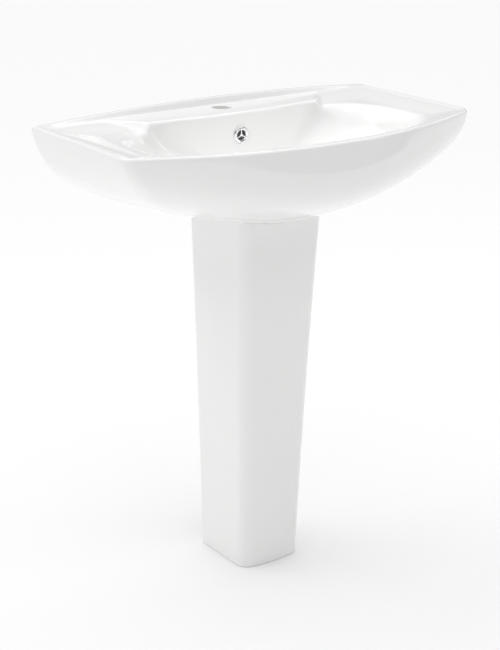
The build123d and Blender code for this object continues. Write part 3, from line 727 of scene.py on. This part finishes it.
def room():
    """White surroundings, lighter behind and on the left than in front and on the right."""
    world = bpy.data.worlds.new("studio")
    bpy.context.scene.world = world
    world.use_nodes = True
    nodes, links = world.node_tree.nodes, world.node_tree.links
    nodes["Background"].inputs["Color"].default_value = (1, 1, 1, 1)
    heading = nodes.new("ShaderNodeTexCoord")
    towards = nodes.new("ShaderNodeVectorMath")
    towards.operation = "DOT_PRODUCT"
    towards.inputs[1].default_value = ROOM_FALL
    level = nodes.new("ShaderNodeMath")
    level.inputs[1].default_value = ROOM_LEVEL
    links.new(heading.outputs["Generated"], towards.inputs[0])
    links.new(towards.outputs["Value"], level.inputs[0])
    links.new(level.outputs["Value"], nodes["Background"].inputs["Strength"])


def floor():
    """Plain pale floor."""
    plate = bmesh.new()
    bmesh.ops.create_grid(plate, x_segments=1, y_segments=1, size=FLOOR_HALF)
    plane = bpy.data.meshes.new("floor")
    plate.to_mesh(plane)
    plate.free()
    obj = bpy.data.objects.new("floor", plane)
    bpy.context.scene.collection.objects.link(obj)
    material = bpy.data.materials.new("floor")
    material.use_nodes = True
    shader = material.node_tree.nodes["Principled BSDF"]
    shader.inputs["Base Color"].default_value = (0.96, 0.96, 0.96, 1)
    shader.inputs["Roughness"].default_value = 0.9
    obj.data.materials.append(material)


def studio():
    """Room, floor, a wide soft light from above and the soft boxes."""
    scene = bpy.context.scene
    scene.view_settings.view_transform = "Standard"
    room()
    floor()
    sky = bpy.data.lights.new("sky", "SUN")
    sky.energy = SKY_STRENGTH
    sky.angle = math.radians(SKY_ANGLE)
    scene.collection.objects.link(bpy.data.objects.new("sky", sky))
    for name, light in SOFT_BOXES.items():
        area_light(name, *light)


def finish(name, colour, drift, rough, patch, grain, relief, stretch=(1, 1, 1), **sockets):
    """Procedural finish: colour and roughness drift over a soft noise, and a fine noise lifts the surface.

    colour is the mean, drift how far it varies, rough the two ends of the roughness, patch and grain the
    noise sizes in turns a metre, relief the height of the grain in metres.
    """
    material = bpy.data.materials.new(name)
    material.use_nodes = True
    nodes, links = material.node_tree.nodes, material.node_tree.links
    shader = nodes["Principled BSDF"]
    for socket, value in sockets.items():
        shader.inputs[socket.replace("_", " ")].default_value = value
    place = nodes.new("ShaderNodeTexCoord")
    scaled = nodes.new("ShaderNodeMapping")
    scaled.inputs["Scale"].default_value = stretch
    links.new(place.outputs["Object"], scaled.inputs["Vector"])
    soft = nodes.new("ShaderNodeTexNoise")
    soft.inputs["Scale"].default_value = patch
    soft.inputs["Detail"].default_value = 3.0
    links.new(scaled.outputs["Vector"], soft.inputs["Vector"])
    ramp = nodes.new("ShaderNodeValToRGB")
    for stop, position, sign in ((0, NOISE_LOW, -1), (1, NOISE_HIGH, 1)):
        ramp.color_ramp.elements[stop].position = position
        ramp.color_ramp.elements[stop].color = (*[min(1.0, c * (1 + sign * drift)) for c in colour], 1)
    links.new(soft.outputs["Fac"], ramp.inputs["Fac"])
    links.new(ramp.outputs["Color"], shader.inputs["Base Color"])
    spread = nodes.new("ShaderNodeMapRange")
    spread.inputs["From Min"].default_value = NOISE_LOW
    spread.inputs["From Max"].default_value = NOISE_HIGH
    spread.inputs["To Min"].default_value = rough[0]
    spread.inputs["To Max"].default_value = rough[1]
    links.new(soft.outputs["Fac"], spread.inputs["Value"])
    links.new(spread.outputs["Result"], shader.inputs["Roughness"])
    fine = nodes.new("ShaderNodeTexNoise")
    fine.inputs["Scale"].default_value = grain
    fine.inputs["Detail"].default_value = 2.0
    links.new(scaled.outputs["Vector"], fine.inputs["Vector"])
    bump = nodes.new("ShaderNodeBump")
    bump.inputs["Distance"].default_value = relief
    links.new(fine.outputs["Fac"], bump.inputs["Height"])
    links.new(bump.outputs["Normal"], shader.inputs["Normal"])
    return material


def replace_node(piece, node):
    """A skin stands for a CAD node of the sink's fixed body."""
    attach(piece, "sink")
    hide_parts(node)


camera()
studio()
materials = {name: finish(name, **recipe) for name, recipe in FINISHES.items()}
for row in frame["record"]["subparts"]:
    coated(frame["nodes"][row["node"]], materials[row["material_slot"]])
replace_node(make_basin(materials["glazed_china"], materials["bisque"]), "basin")
replace_node(make_pedestal(materials["glazed_china"], materials["bisque"]), "pedestal")
for number, side in enumerate((-1, 1), start=1):
    stud = finished(coated(make_stud(f"wall_stud_{number}", side), materials["zinc_steel"]), 60)
    replace_node(stud, "wall_studs")
